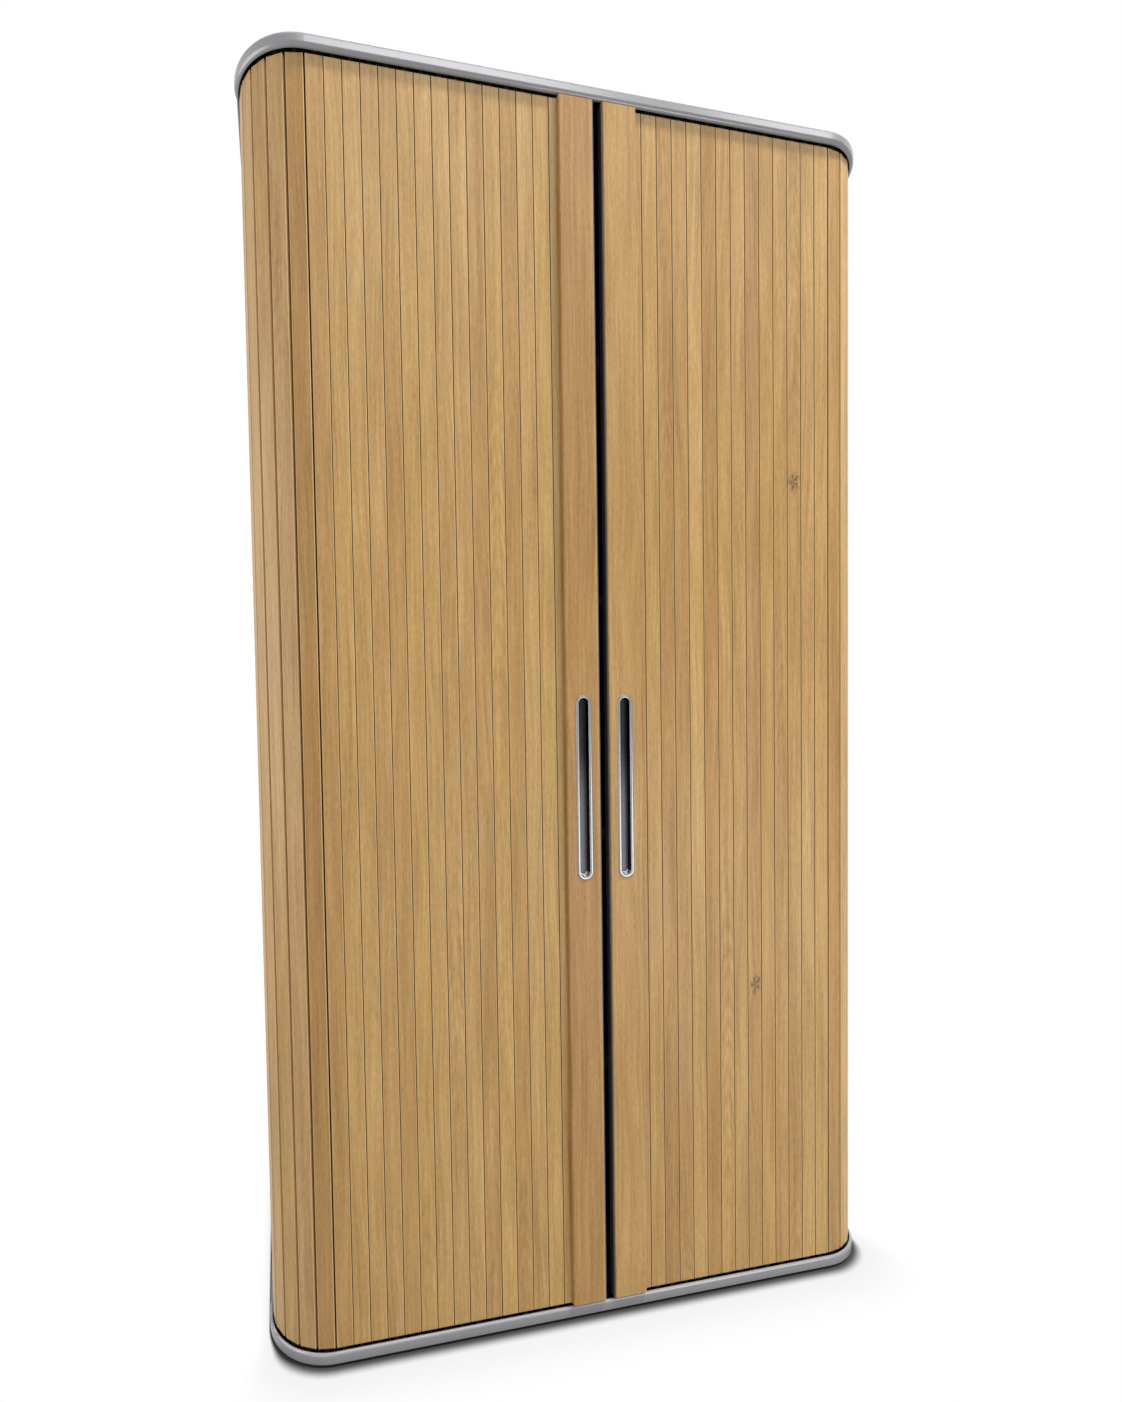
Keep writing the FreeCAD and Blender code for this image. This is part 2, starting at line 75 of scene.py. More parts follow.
# Shader helpers
def newMaterial(name):
    material = bpy.data.materials.new(name)
    material.use_nodes = True
    tree = material.node_tree
    return material, tree, tree.nodes["Principled BSDF"]


def setInputs(tree, node, inputs):
    for key, value in inputs.items():
        if isinstance(value, bpy.types.NodeSocket):
            tree.links.new(value, node.inputs[key])
        else:
            node.inputs[key].default_value = value


def addNode(tree, kind, inputs=None, **settings):
    node = tree.nodes.new(kind)
    for key, value in settings.items():
        setattr(node, key, value)
    setInputs(tree, node, inputs or {})
    return node


def mathNode(tree, operation, first, second=0.0, third=0.0):
    return addNode(tree, "ShaderNodeMath", {0: first, 1: second, 2: third}, operation=operation).outputs[0]


def subtract(tree, first, second):
    return mathNode(tree, "SUBTRACT", first, second)


def multiply(tree, first, second):
    return mathNode(tree, "MULTIPLY", first, second)


def scaleAdd(tree, value, scale, added):
    return mathNode(tree, "MULTIPLY_ADD", value, scale, added)


def larger(tree, first, second):
    return mathNode(tree, "MAXIMUM", first, second)


# A value that goes up and down by half the spread, as the factor goes from 0 to 1
def varied(tree, factor, middle, spread):
    return scaleAdd(tree, factor, spread, middle - spread / 2)


def blended(tree, first, second, firstShare):
    return scaleAdd(tree, first, firstShare, multiply(tree, second, 1 - firstShare))


def fadeNode(tree, value, start, end):
    inputs = {0: value, 1: start, 2: end}
    return addNode(tree, "ShaderNodeMapRange", inputs, interpolation_type="SMOOTHSTEP").outputs[0]


def rampNode(tree, factor, positions, colours):
    node = addNode(tree, "ShaderNodeValToRGB", {0: factor})
    ramp = node.color_ramp
    while len(ramp.elements) < len(positions):
        ramp.elements.new(0.5)
    for element, position, colour in zip(ramp.elements, positions, colours):
        element.position = position
        element.color = (*colour, 1)
    return node.outputs[0]


def mixColour(tree, factor, first, second, blend="MIX"):
    inputs = {0: factor, 6: first, 7: second}
    return addNode(tree, "ShaderNodeMix", inputs, data_type="RGBA", blend_type=blend).outputs[2]


def layColour(tree, colour, over, share):
    return mixColour(tree, share, colour, (*over, 1))


def noiseNode(tree, vector, scale, detail=3.0, rough=0.55):
    inputs = {"Vector": vector, "Scale": scale, "Detail": detail, "Roughness": rough}
    return addNode(tree, "ShaderNodeTexNoise", inputs).outputs[0]


def stretchedNoise(tree, vector, stretch, detail=3.0, rough=0.55):
    mapped = addNode(tree, "ShaderNodeMapping", {"Vector": vector, "Scale": stretch}).outputs[0]
    return noiseNode(tree, mapped, 1.0, detail, rough)


def joinVector(tree, x=0.0, y=0.0, z=0.0):
    return addNode(tree, "ShaderNodeCombineXYZ", {0: x, 1: y, 2: z}).outputs[0]


def splitVector(tree, vector):
    return addNode(tree, "ShaderNodeSeparateXYZ", {0: vector}).outputs


def vectorLength(tree, vector):
    return addNode(tree, "ShaderNodeVectorMath", {0: vector}, operation="LENGTH").outputs["Value"]


def attributeNode(tree, name):
    return addNode(tree, "ShaderNodeAttribute", attribute_name=name).outputs["Vector"]


def objectPlace(tree):
    return addNode(tree, "ShaderNodeTexCoord").outputs["Object"]


def bumpInto(tree, shader, height, strength, distance):
    inputs = {"Height": height, "Strength": strength, "Distance": distance}
    setInputs(tree, shader, {"Normal": addNode(tree, "ShaderNodeBump", inputs).outputs[0]})


# How far a place lies outside the line through the corners' centres, in all and to the side
def curtainReach(tree, place):
    x, y, _ = splitVector(tree, place)
    aside = larger(tree, subtract(tree, mathNode(tree, "ABSOLUTE", x), cornerX), 0.0)
    ahead = larger(tree, subtract(tree, cornerY, y), 0.0)
    return vectorLength(tree, joinVector(tree, aside, ahead)), aside


veneerLook = {
    "pale": (0.500, 0.313, 0.117),
    "honey": (0.396, 0.235, 0.076),
    "brown": (0.275, 0.149, 0.043),
    "stops": (0.38, 0.50, 0.64),  # of the three tones
    "lightnessSpread": 0.24,
    "coolnessSpread": 0.12,
    "redFollows": 0.7,  # red follows the lightness only so far, so dark slats are browner
    # Noise of each layer: scale across, along and from slat to slat, detail, roughness
    "sway": ((9, 1.6, 1), 2.0, 0.55),
    "fibres": ((620, 13, 1), 4.0, 0.65),
    "streaks": ((210, 3.4, 1), 4.0, 0.60),
    "flecks": ((420, 95, 1), 2.0, 0.50),
    "clouds": ((42, 4.2, 1), 3.0, 0.55),
    "pores": ((900, 60, 1), 1.0, 0.55),
    "weights": (0.24, 0.34, 0.20, 0.22, 0.06),  # of fibres, streaks, flecks, clouds and flame rings
    "swayWidth": 0.040,
    "poreFade": (0.62, 0.76),
    "poreShare": 0.22,
    "poreDepth": 0.5,
    # Bands along the sides of a slat, from its nominal edge: a painted highlight on the rounded edges,
    # painted shade on the flanks in the seams
    # Painted highlight: pale band along the slat's rounded front edges
    "edge": {"tone": (0.600, 0.420, 0.210), "fade": (-0.0022, -0.0008), "share": 0.6},
    "flankShade": {"tone": (0.110, 0.064, 0.028), "fade": (-0.0005, 0.0006), "share": 0.85},  # painted shade inside the seams
    "roughness": 0.46,
    "roughnessSpread": 0.14,
    "specular": 0.42,
    "bump": (0.10, 0.0004),  # strength and distance
}

knotLook = {
    "tone": (0.092, 0.051, 0.018),
    "size": (0.0110, 0.0165),  # across and along
    "away": 9.0,  # where a slat without a knot has it, far off the cabinet
    "ragged": ((260, 150, 1), 2.0, 0.55),
    "raggedness": 1.6,
    "bend": 0.006,  # of the fibres round it
    "bendFade": (0.3, 3.2),  # in sizes of the knot
    "rays": 5.0,
    "rayTwist": 9.0,
    "rayDepth": 0.42,
    "fade": (0.55, 1.25),  # in sizes of the knot
    "share": 0.95,
}

flameLook = {
    "steepness": 300.0,
    "rings": 140.0,
    "sway": 0.10,
    "waver": 15.0,
    "patchRate": 2.3,  # how often it comes and goes along a slat
    "patchFade": (0.50, 0.66),
}

boardLook = {
    "lightnessSpread": 0.70,  # from the darker left boards to the right ones
    "coolness": 0.4,
    "figure": 0.12,
    "seed": 3.0,
}


# Place in the grain and tone of a slat, from the layers of its mesh
def slatGrain(tree):
    across, along, _ = splitVector(tree, addNode(tree, "ShaderNodeUVMap", uv_map="grainMap").outputs[0])
    lightness, coolness, figure = splitVector(tree, attributeNode(tree, "slatTone"))
    seed, knotAcross, knotAlong = splitVector(tree, attributeNode(tree, "slatMark"))
    return {
        "across": across,
        "along": along,
        "lightness": lightness,
        "coolness": coolness,
        "figure": figure,
        "seed": seed,
        "knotAcross": knotAcross,
        "knotAlong": knotAlong,
    }


# The same for boards, which are one veneer all over
def boardGrain(tree):
    x, y, along = splitVector(tree, objectPlace(tree))
    onRight = mathNode(tree, "GREATER_THAN", x, 0.0)
    return {
        "across": mathNode(tree, "ADD", x, y),
        "along": along,
        "lightness": varied(tree, onRight, 0.0, boardLook["lightnessSpread"]),
        "coolness": boardLook["coolness"],
        "figure": boardLook["figure"],
        "seed": boardLook["seed"],
        "knotAcross": knotLook["away"],
        "knotAlong": knotLook["away"],
    }


# How far the fibres bend aside round the knot, and how much of its colour shows
def knotParts(tree, grain, place):
    look = knotLook
    wide = mathNode(tree, "DIVIDE", subtract(tree, grain["across"], grain["knotAcross"]), look["size"][0])
    tall = mathNode(tree, "DIVIDE", subtract(tree, grain["along"], grain["knotAlong"]), look["size"][1])
    ragged = stretchedNoise(tree, place, *look["ragged"])
    reach = vectorLength(tree, joinVector(tree, wide, tall))
    reach = scaleAdd(tree, subtract(tree, ragged, 0.5), look["raggedness"], reach)
    near = subtract(tree, 1.0, fadeNode(tree, reach, *look["bendFade"]))
    bend = multiply(tree, multiply(tree, wide, near), look["bend"])
    around = multiply(tree, mathNode(tree, "ARCTAN2", tall, wide), look["rays"])
    rays = mathNode(tree, "SINE", scaleAdd(tree, ragged, look["rayTwist"], around))
    heart = scaleAdd(tree, rays, look["rayDepth"], 1 - look["rayDepth"])
    heart = multiply(tree, heart, subtract(tree, 1.0, fadeNode(tree, reach, *look["fade"])))
    return bend, multiply(tree, heart, look["share"])


# Nested arches on parts of some slats
def flameRings(tree, grain, sway, clouds):
    look = flameLook
    across, along = grain["across"], grain["along"]
    rise = scaleAdd(tree, multiply(tree, across, across), look["steepness"], along)
    rise = scaleAdd(tree, sway, look["sway"], rise)
    waver = multiply(tree, clouds, look["waver"])
    rings = mathNode(tree, "SINE", scaleAdd(tree, rise, look["rings"], waver))
    patchPlace = joinVector(tree, grain["seed"], multiply(tree, along, look["patchRate"]))
    patch = fadeNode(tree, noiseNode(tree, patchPlace, scale=1.0, detail=1.0), *look["patchFade"])
    return multiply(tree, multiply(tree, rings, patch), grain["figure"])


# Veneer: the fibres run upwards, and the tone changes from slat to slat
def veneerMaterial(name, onSlats):
    look = veneerLook
    material, tree, shader = newMaterial(name)
    grain = slatGrain(tree) if onSlats else boardGrain(tree)
    across, along, seed = grain["across"], grain["along"], grain["seed"]

    # Fibres bend with a slow sway, and round a knot
    place = joinVector(tree, across, along, seed)
    sway = subtract(tree, stretchedNoise(tree, place, *look["sway"]), 0.5)
    bend, knotShare = knotParts(tree, grain, place)
    offset = scaleAdd(tree, sway, look["swayWidth"], bend)
    bent = joinVector(tree, mathNode(tree, "ADD", across, offset), along, seed)
    layers = ("fibres", "streaks", "flecks", "clouds", "pores")
    fibres, streaks, flecks, clouds, pores = (stretchedNoise(tree, bent, *look[layer]) for layer in layers)
    pores = fadeNode(tree, pores, *look["poreFade"])
    rings = flameRings(tree, grain, sway, clouds)

    shade = 0.0
    for layer, weight in zip((fibres, streaks, flecks, clouds, rings), look["weights"]):
        shade = scaleAdd(tree, layer, weight, shade)
    colour = rampNode(tree, shade, look["stops"], (look["pale"], look["honey"], look["brown"]))
    gain = varied(tree, grain["lightness"], 1.0, look["lightnessSpread"])
    blue = multiply(tree, gain, varied(tree, grain["coolness"], 1.0, look["coolnessSpread"]))
    red = scaleAdd(tree, gain, look["redFollows"], 1 - look["redFollows"])
    colour = mixColour(tree, 1.0, colour, joinVector(tree, red, gain, blue), "MULTIPLY")
    colour = layColour(tree, colour, look["brown"], multiply(tree, pores, look["poreShare"]))
    if onSlats:
        # Painted highlight along the slat edges and painted shade on their flanks in the seams
        aside = mathNode(tree, "ABSOLUTE", across)
        for band in (look["edge"], look["flankShade"]):
            start, end = (pitch / 2 + distance for distance in band["fade"])
            share = multiply(tree, fadeNode(tree, aside, start, end), band["share"])
            colour = layColour(tree, colour, band["tone"], share)
    colour = layColour(tree, colour, knotLook["tone"], knotShare)

    setInputs(tree, shader, {
        "Base Color": colour,
        "Roughness": varied(tree, streaks, look["roughness"], look["roughnessSpread"]),
        "Specular IOR Level": look["specular"],
    })
    relief = subtract(tree, fibres, multiply(tree, pores, look["poreDepth"]))
    bumpInto(tree, shader, relief, *look["bump"])
    return material


lacquerLook = {
    "dark": (0.240, 0.236, 0.248),
    "light": (0.275, 0.271, 0.284),
    "stops": (0.30, 0.70),
    "cloud": (7.0, 4.0),  # scale and detail of the noise
    "flake": (1500.0, 2.0),
    "flakeShare": 0.5,
    "peel": (420.0, 2.0),
    "grooveShade": (0.012, 0.012, 0.013),  # black along the grooves: painted shade of the gap between boards and slats
    "grooveShadeEdge": 0.0015,  # how far the painted shade shows in front of the slat faces
    "grooveShadeWidth": 0.026,  # how far it goes on behind them
    "sheet": (0.150, 0.148, 0.155),  # dark sheet of painted shade: on the top against the strong lamp above, inside as shade seen through the door gap
    "sheetDepth": 0.0004,  # depth of the painted shade on the top
    "skin": 0.006,  # lowest part of the base and uppermost of the top, without the painted groove shade and the inside sheet
    "metallic": 0.30,
    "roughness": 0.26,
    "roughnessSpread": 0.06,
    "bump": (0.05, 0.0003),
}


# Silver-grey lacquer with a fine orange-peel surface; black painted shade where the curtain runs, and a
# dark sheet of painted shade on the top and inside
def lacquerMaterial():
    look = lacquerLook
    material, tree, shader = newMaterial("silverLacquer")
    place = objectPlace(tree)
    cloud, flake, peel = (noiseNode(tree, place, *look[layer]) for layer in ("cloud", "flake", "peel"))
    shade = blended(tree, flake, cloud, look["flakeShare"])
    colour = rampNode(tree, shade, look["stops"], (look["dark"], look["light"]))

    reach, _ = curtainReach(tree, place)
    z = splitVector(tree, place)[2]
    under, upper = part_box("base_board")[0].z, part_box("top_board")[1].z
    aboveSkin = mathNode(tree, "GREATER_THAN", z, under + look["skin"])
    belowSkin = mathNode(tree, "LESS_THAN", z, upper - look["skin"])
    between = multiply(tree, aboveSkin, belowSkin)
    # Painted shade: black on the boards in the gap at the slat ends
    grooveShade = mathNode(tree, "LESS_THAN", reach, cornerY - faceY + look["grooveShadeEdge"])
    colour = layColour(tree, colour, look["grooveShade"], multiply(tree, grooveShade, between))
    # Painted shade: the dark sheet inside the curtain and on the top face
    inside = mathNode(tree, "LESS_THAN", reach, cornerY - faceY - look["grooveShadeWidth"])
    onTop = mathNode(tree, "GREATER_THAN", z, upper - look["sheetDepth"])
    colour = layColour(tree, colour, look["sheet"], larger(tree, multiply(tree, inside, between), onTop))

    gloss = varied(tree, cloud, look["roughness"], look["roughnessSpread"])
    setInputs(tree, shader, {"Base Color": colour, "Roughness": gloss, "Metallic": look["metallic"]})
    bumpInto(tree, shader, peel, *look["bump"])
    return material


metalLook = {
    "brush": (2600, 2600, 40),
    "stops": (0.3, 0.7),
    "hollow": 0.82,  # share of the tone in the hollows of the brushing
    # Painted shade: the colour and share that darken a metal between given heights
    "paintedShade": (0.004, 0.0035, 0.003),
    "paintedShadeShare": 0.85,
    "roughnessSpread": 0.16,
    "bump": (0.05, 0.0002),
}


# Satin metal, brushed along the height, with painted shade darkening it between the heights given
def metalMaterial(name, tone, metallic, roughness, paintedShadeHeights=None):
    look = metalLook
    material, tree, shader = newMaterial(name)
    place = objectPlace(tree)
    brush = stretchedNoise(tree, place, look["brush"])
    hollow = tuple(look["hollow"] * part for part in tone)
    colour = rampNode(tree, brush, look["stops"], (hollow, tone))
    if paintedShadeHeights:
        paintedShade = fadeNode(tree, splitVector(tree, place)[2], *paintedShadeHeights)
        colour = layColour(tree, colour, look["paintedShade"], multiply(tree, paintedShade, look["paintedShadeShare"]))
    gloss = varied(tree, brush, roughness, look["roughnessSpread"])
    setInputs(tree, shader, {"Base Color": colour, "Roughness": gloss, "Metallic": metallic})
    bumpInto(tree, shader, brush, *look["bump"])
    return material


mattLook = {
    "cloud": 5.0,
    "grainShare": 0.6,
    "stops": (0.32, 0.68),
    "roughnessSpread": 0.12,
    "bump": (0.10, 0.0003),
}


# Matt dark finish with a fine grain, for plastic and laminate
def mattMaterial(name, low, high, grain, roughness):
    look = mattLook
    material, tree, shader = newMaterial(name)
    place = objectPlace(tree)
    fine = stretchedNoise(tree, place, grain)
    cloud = noiseNode(tree, place, look["cloud"])
    colour = rampNode(tree, blended(tree, fine, cloud, look["grainShare"]), look["stops"], (low, high))
    gloss = varied(tree, cloud, roughness, look["roughnessSpread"])
    setInputs(tree, shader, {"Base Color": colour, "Roughness": gloss})
    bumpInto(tree, shader, fine, *look["bump"])
    return material


canvasLook = {
    "dark": (0.13, 0.10, 0.07),
    "light": (0.34, 0.29, 0.21),
    "stops": (0.05, 0.85),
    "threads": 300.0,
    "slub": (700, 60, 1),
    "weaveShare": 0.7,
    "roughness": 0.9,
    "bump": (0.3, 0.0005),
}


# Plain woven canvas glued behind the slats
def canvasMaterial():
    look = canvasLook
    material, tree, shader = newMaterial("backingCanvas")
    x, y, z = splitVector(tree, objectPlace(tree))
    cloth = joinVector(tree, mathNode(tree, "ADD", x, y), z)
    threads = {"Vector": cloth, "Scale": look["threads"]}
    warp, weft = (addNode(tree, "ShaderNodeTexWave", threads, bands_direction=axis) for axis in "XY")
    weave = multiply(tree, warp.outputs[1], weft.outputs[1])
    shade = blended(tree, weave, stretchedNoise(tree, cloth, look["slub"]), look["weaveShare"])
    colour = rampNode(tree, shade, look["stops"], (look["dark"], look["light"]))
    setInputs(tree, shader, {"Base Color": colour, "Roughness": look["roughness"]})
    bumpInto(tree, shader, weave, *look["bump"])
    return material


pullMiddle = middleOf("left_finger_pull").z
recessShadeHeights = (pullMiddle - 0.03, pullMiddle + 0.07)  # painted shade: the upper half of the recess is darker
slatVeneer = veneerMaterial("slatVeneer", onSlats=True)
boardVeneer = veneerMaterial("boardVeneer", onSlats=False)
silverLacquer = lacquerMaterial()
satinAluminium = metalMaterial("satinAluminium", (0.285, 0.287, 0.293), metallic=0.85, roughness=0.25)
# The recess is dark metal with painted shade, darkest in its upper half
recessShadeMetal = metalMaterial("recessShadeMetal", (0.056, 0.054, 0.061), metallic=0.85, roughness=0.28,
                            paintedShadeHeights=recessShadeHeights)
# Painted highlight: bright metal on the lower end of the recess
paintedHighlightEnd = metalMaterial("paintedHighlightEnd", (0.620, 0.622, 0.630), metallic=0.80, roughness=0.22)
zincSteel = metalMaterial("zincSteel", (0.46, 0.46, 0.45), metallic=0.95, roughness=0.30)
darkProfile = mattMaterial("darkProfile", (0.036, 0.036, 0.038), (0.056, 0.056, 0.058),
                           grain=(1400, 1400, 1400), roughness=0.42)
# Black of the slats' tongues: painted shade in the gap at the slat ends
tongueShadeBlack = mattMaterial("tongueShadeBlack", (0.010, 0.010, 0.010), (0.020, 0.020, 0.020),
                          grain=(1800, 1800, 1800), roughness=0.55)
# Dark grey laminate for the back and inside; inside, its darkness is painted shade seen through the door
# gap
laminateAndShade = mattMaterial("laminateAndShade", (0.046, 0.046, 0.049), (0.104, 0.103, 0.106),
                            grain=(420, 420, 12), roughness=0.50)
backingCanvas = canvasMaterial()
print("materials made")


def finishPiece(bm, name, materials, body, node):
    bmesh.ops.recalc_face_normals(bm, faces=bm.faces)
    mesh = bpy.data.meshes.new(name)
    bm.to_mesh(mesh)
    bm.free()
    for material in materials:
        mesh.materials.append(material)
    piece = bpy.data.objects.new(name, mesh)
    bpy.context.scene.collection.objects.link(piece)
    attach(piece, body)
    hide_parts(node)
    return piece


def addBlock(bm, low, high):
    made = bmesh.ops.create_cube(bm, size=1.0)["verts"]
    low, high = Vector(low), Vector(high)
    bmesh.ops.scale(bm, verts=made, vec=high - low)
    bmesh.ops.translate(bm, verts=made, vec=(low + high) / 2)
    return made


def roundEdges(bm, edges, radius, segments):
    return bmesh.ops.bevel(bm, geom=edges, offset=radius, offset_type="OFFSET", affect="EDGES",
                           segments=segments, profile=0.5, material=-1)


# Slats are told apart by hand and number: 1 and up from the corner to the stile, -1 and down to the tail
slatShape = {
    "faceGap": 0.0011,
    "backGap": 0.0004,
    "edgeRound": 0.0011,
    "edgeSegments": 3,
    "tongueWidth": 0.006,
    "tongueThickness": 0.004,
    "facing": 0.3,  # least share of y in the normals of face and back
    "toneSpread": {"left": 1.0, "right": 1.5},  # how far the slats differ in lightness
    # Lightness and coolness of single slats
    "tones": {("left", -1): (-0.35, 0.1), ("left", -2): (0.8, 2.2)},
    "flames": {("left", 1): 0.4, ("left", 6): 0.4, ("left", 12): 0.5,
               ("right", 3): 0.5, ("right", 4): 0.4, ("right", 8): 0.60},
    "faintFlame": 0.45,  # the most on any other slat
    "knots": {("right", 3): 1.350, ("right", 6): 0.512},  # their heights
    "knotAside": 0.004,
    "seeds": 60,
}


# A stave with rounded front edges and a narrower face, and a tongue at each end, black as painted shade in
# the gap at the slat ends
def slatBody(bm):
    half = (pitch - slatShape["faceGap"]) / 2
    middle = -slatThick / 2
    made = addBlock(bm, (-half, -slatThick, staveLow), (half, 0, staveHigh))
    back = [vert for vert in made if vert.co.y > middle]
    wider = (pitch - slatShape["backGap"]) / (2 * half)
    bmesh.ops.scale(bm, verts=back, vec=(wider, 1, 1))
    edges = {edge for vert in made for edge in vert.link_edges}
    front = [edge for edge in edges if all(vert.co.y < middle for vert in edge.verts)]
    rounded = roundEdges(bm, front, slatShape["edgeRound"], slatShape["edgeSegments"])
    verts = {vert for vert in made if vert.is_valid} | set(rounded["verts"])
    wide, deep = slatShape["tongueWidth"] / 2, slatShape["tongueThickness"] / 2
    for low, high in ((tongueLow, staveLow), (staveHigh, tongueHigh)):
        tongue = set(addBlock(bm, (-wide, middle - deep, low), (wide, middle + deep, high)))
        # The tongues take the black of painted shade
        for face in {face for vert in tongue for face in vert.link_faces}:
            face.material_index = 1
        verts |= tongue
    return verts


# Lightness, coolness and flame of a slat, then its seed and the place of its knot
def slatLook(name):
    lightness = 0.5 + (dice.random() - 0.5) * slatShape["toneSpread"][name[0]]
    coolness = dice.random()
    flame = slatShape["faintFlame"] * dice.random() ** 2
    seed = dice.uniform(0, slatShape["seeds"])
    aside = dice.uniform(-slatShape["knotAside"], slatShape["knotAside"])
    lightness, coolness = slatShape["tones"].get(name, (lightness, coolness))
    tone = Vector((lightness, coolness, slatShape["flames"].get(name, flame)))
    mark = Vector((seed, aside, slatShape["knots"].get(name, knotLook["away"])))
    return tone, mark


def addSlat(bm, layers, turn, x, y, name):
    verts = slatBody(bm)
    tone, mark = slatLook(name)
    for face in {face for vert in verts for face in vert.link_faces}:
        onFlank = turn == 0 and abs(face.normal.y) <= slatShape["facing"]
        for loop in face.loops:
            spot = loop.vert.co
            depth = spot.y + slatThick if onFlank else 0  # unfolds the flanks beside the face
            loop[layers["grain"]].uv = (spot.x + math.copysign(depth, spot.x), spot.z)
            loop[layers["tone"]] = tone
            loop[layers["mark"]] = mark
    spin = Matrix.Translation((x, y, 0)) @ Matrix.Rotation(turn, 4, "Z")
    bmesh.ops.transform(bm, verts=list(verts), matrix=spin)


# One piece for each slat node, with every slat of that node in it
def slatPiece(node, body, places):
    bm = bmesh.new()
    layers = {
        "grain": bm.loops.layers.uv.new("grainMap"),
        "tone": bm.loops.layers.float_vector.new("slatTone"),
        "mark": bm.loops.layers.float_vector.new("slatMark"),
    }
    for place in places:
        addSlat(bm, layers, *place)
    finishPiece(bm, node + "_staves", [slatVeneer, tongueShadeBlack], body, node)


# Turn, x, y and name of a slat on the front, in the corner and along the side
def flatPlace(hand, order):
    return 0, hands[hand] * (cornerX - (order - 0.5) * pitch), backY, (hand, order)


def cornerPlace(hand, order):
    angle = turnStep * (order - 0.5)
    x = cornerX + cornerBack * math.sin(angle)
    return hands[hand] * angle, hands[hand] * x, cornerY - cornerBack * math.cos(angle), (hand, -order)


def tailPlace(hand, step):
    x, y = cornerX + hingeRadius, cornerY + (step + 0.5) * pitch
    return hands[hand] * math.pi / 2, hands[hand] * x, y, (hand, -turnCount - 1 - step)


for hand in hands:
    low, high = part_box(hand + "_flat_slats")
    count = round((high.x - low.x) / pitch)
    places = [flatPlace(hand, turnCount + 1 + step) for step in range(count)]
    slatPiece(hand + "_flat_slats", hand + "_door", places)
    for order in range(1, turnCount + 1):
        node = f"{hand}_entry_slat_{order}"
        slatPiece(node, node + "_link", [flatPlace(hand, order)])
        node = f"{hand}_corner_slat_{order}"
        slatPiece(node, node + "_link", [cornerPlace(hand, order)])
    low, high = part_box(hand + "_side_slats")
    count = round((high.y - low.y) / pitch)
    slatPiece(hand + "_side_slats", hand + "_tail", [tailPlace(hand, step) for step in range(count)])
print("slats made")

pullShape = {
    "segments": 48,
    # Steps in millimetres from the rim's outer edge: inwards, then out of the stile (+) or into it (-)
    "profile": ((0.15, 0.50), (0.45, 0.45), (0.90, 0.20), (2.00, 0.00), (0.80, -0.25), (0.70, -0.80),
                (0.40, -1.60), (0.20, -2.60), (0.15, -2.60), (0.30, -1.40), (0.70, -0.60), (1.20, -0.15)),
    "millimetres": 1000,  # in a metre
    "cupFrom": 0.0002,  # depth at which the rim gives way to the recess
    "highlightHeight": 0.012,  # the lower end, which has a painted highlight
    "sharpFrom": 50,  # degrees
}


# Stadium cup: a circle pulled apart, then inset step by step
def fingerPull(hand):
    node = hand + "_finger_pull"
    low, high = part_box(node)
    width, length = high.x - low.x, high.z - low.z
    middle = middleOf(node)
    segments = pullShape["segments"]
    bm = bmesh.new()
    made = bmesh.ops.create_circle(bm, cap_ends=True, radius=width / 2, segments=segments)["verts"]
    bmesh.ops.rotate(bm, verts=made, cent=(0, 0, 0), matrix=Matrix.Rotation(math.pi / 2, 3, "X"))
    bmesh.ops.rotate(bm, verts=made, cent=(0, 0, 0), matrix=Matrix.Rotation(math.pi / segments, 3, "Y"))
    for sign in (-1, 1):
        half = [vert for vert in made if vert.co.z * sign > 0]
        bmesh.ops.translate(bm, verts=half, vec=(0, 0, sign * (length - width) / 2))
    bmesh.ops.translate(bm, verts=made, vec=(middle.x, stileFace, middle.z))
    bm.normal_update()
    bm.faces.ensure_lookup_table()
    face = bm.faces[0]
    if face.normal.y > 0:
        bmesh.ops.reverse_faces(bm, faces=[face])
        bm.normal_update()
    for inwards, outwards in pullShape["profile"]:
        bmesh.ops.inset_region(bm, faces=[face], thickness=inwards / pullShape["millimetres"],
                               depth=outwards / pullShape["millimetres"], use_even_offset=True,
                               use_boundary=True)
    for part in bm.faces:
        part.smooth = True
        spot = part.calc_center_median()
        if spot.y > stileFace + pullShape["cupFrom"]:
            # The recess gets the metal with painted shade, and its lower end the painted highlight
            part.material_index = 1 if spot.z > low.z + pullShape["highlightHeight"] else 2
    metals = [satinAluminium, recessShadeMetal, paintedHighlightEnd]
    piece = finishPiece(bm, hand + "_pull_cup", metals, hand + "_door", node)
    piece.data.set_sharp_from_angle(angle=math.radians(pullShape["sharpFrom"]))


stripShape = {
    "edgeRound": 0.0008,
    "edgeSegments": 3,
    "uprightFrom": 0.1,  # rise of the edges that are rounded
}


def stripPiece(hand):
    node = hand + "_meeting_strip"
    bm = bmesh.new()
    addBlock(bm, *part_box(node))
    rises = {edge: abs(edge.verts[0].co.z - edge.verts[1].co.z) for edge in bm.edges}
    upright = [edge for edge, rise in rises.items() if rise > stripShape["uprightFrom"]]
    roundEdges(bm, upright, stripShape["edgeRound"], stripShape["edgeSegments"])
    finishPiece(bm, hand + "_edge_profile", [darkProfile], hand + "_door", node)


canvasShape = {
    "acrossParts": 8,
    "alongParts": 40,
}


